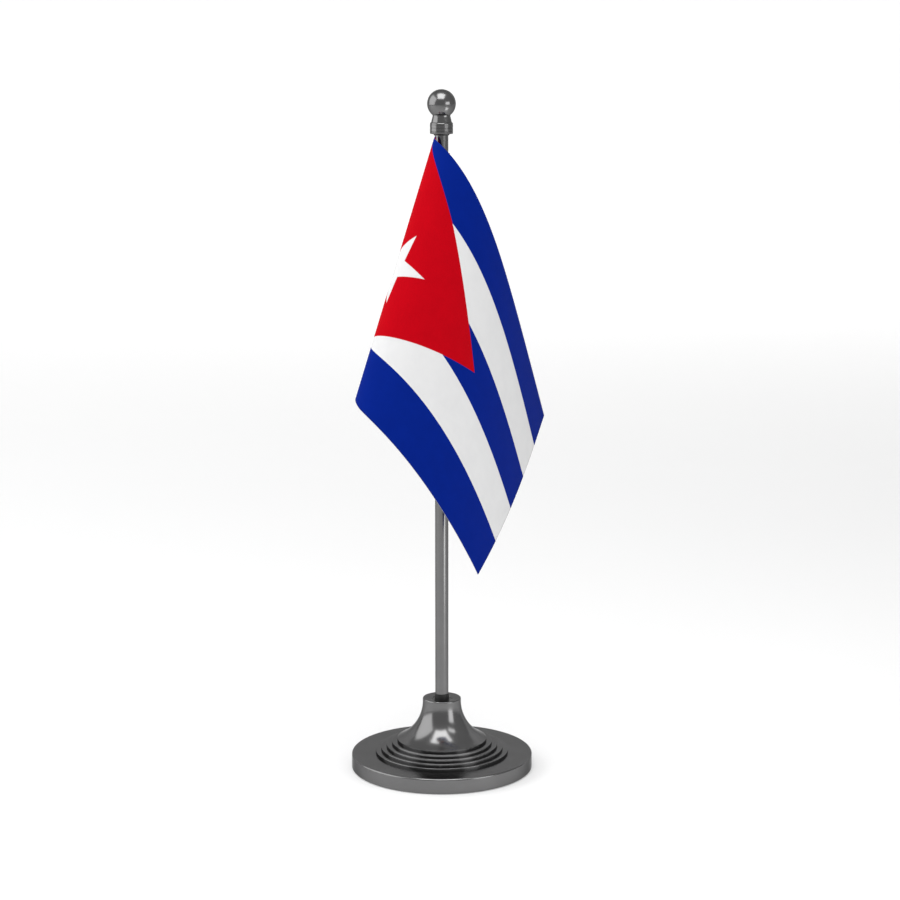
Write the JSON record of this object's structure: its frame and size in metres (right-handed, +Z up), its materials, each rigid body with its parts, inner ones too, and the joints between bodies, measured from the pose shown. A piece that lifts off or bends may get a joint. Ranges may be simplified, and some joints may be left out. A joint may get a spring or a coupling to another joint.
{
  "type": "desk flag stand",
  "caption": "Desk flag on a slim round pole: weighted round base with a stepped, flared hub, screw-on ball finial and a draped flag on a sleeve that turns around the pole.",
  "frame": {"origin": "on the table, where the pole's axis meets the underside of the foot pad", "axes": "+Z up along the pole, -Y towards the viewer, +X to the right; the flag leaves the pole towards -X and -Y and comes back across the pole's front"},
  "size_m": [0.1146, 0.1417, 0.3955],
  "materials": {
    "polished_base": "polished dark nickel plate",
    "weight": "as cast, painted black",
    "pad": "black felt",
    "polished_hub": "polished dark nickel plate",
    "black_plastic": "moulded, satin",
    "plated_steel": "zinc plated",
    "polished_pole": "polished dark nickel plate",
    "insert_brass": "turned",
    "polished_finial": "polished dark nickel plate",
    "polished_ball": "polished dark nickel plate",
    "flag_hem": "satin polyester",
    "flag_print": "printed satin polyester"
  },
  "bodies": {
    "base": {"base_cover": "polished_base", "base_weight": "weight", "foot_pad": "pad", "hub": "polished_hub", "socket_bush": "black_plastic", "hub_screw": "plated_steel", "lock_washer": "plated_steel", "plain_washer": "plated_steel"},
    "plug": {"pole_plug": "black_plastic"},
    "pole": {"pole_tube": "polished_pole", "pole_insert": "insert_brass"},
    "ring": {"finial_ring": "black_plastic"},
    "finial": {"finial_collar": "polished_finial", "finial_ball": "polished_ball", "finial_stud": "plated_steel"},
    "flag": {"flag_sleeve": "flag_hem", "flag_cloth": "flag_print"}
  },
  "joints": [
    {"name": "pole_turn", "type": "hinge", "parent": "base", "child": "plug", "pos_m": [0, 0, 0.042], "axis": [0, 0, 1], "continuous": true},
    {"name": "pole_lift", "type": "slide", "parent": "plug", "child": "pole", "axis": [0, 0, 1], "range_m": [0, 0.025]},
    {"name": "flag_turn", "type": "hinge", "parent": "pole", "child": "flag", "pos_m": [0, 0, 0.3], "axis": [0, 0, 1], "continuous": true},
    {"name": "finial_lift", "type": "slide", "parent": "pole", "child": "ring", "axis": [0, 0, 1], "range_m": [0, 0.007]},
    {"name": "finial_turn", "type": "hinge", "parent": "ring", "child": "finial", "pos_m": [0, 0, 0.3706], "axis": [0, 0, 1], "range_deg": [0, 3650]}
  ],
  "couplings": [
    {"joint": "finial_turn", "follows": "finial_lift", "rad_per_m": 8976}
  ]
}
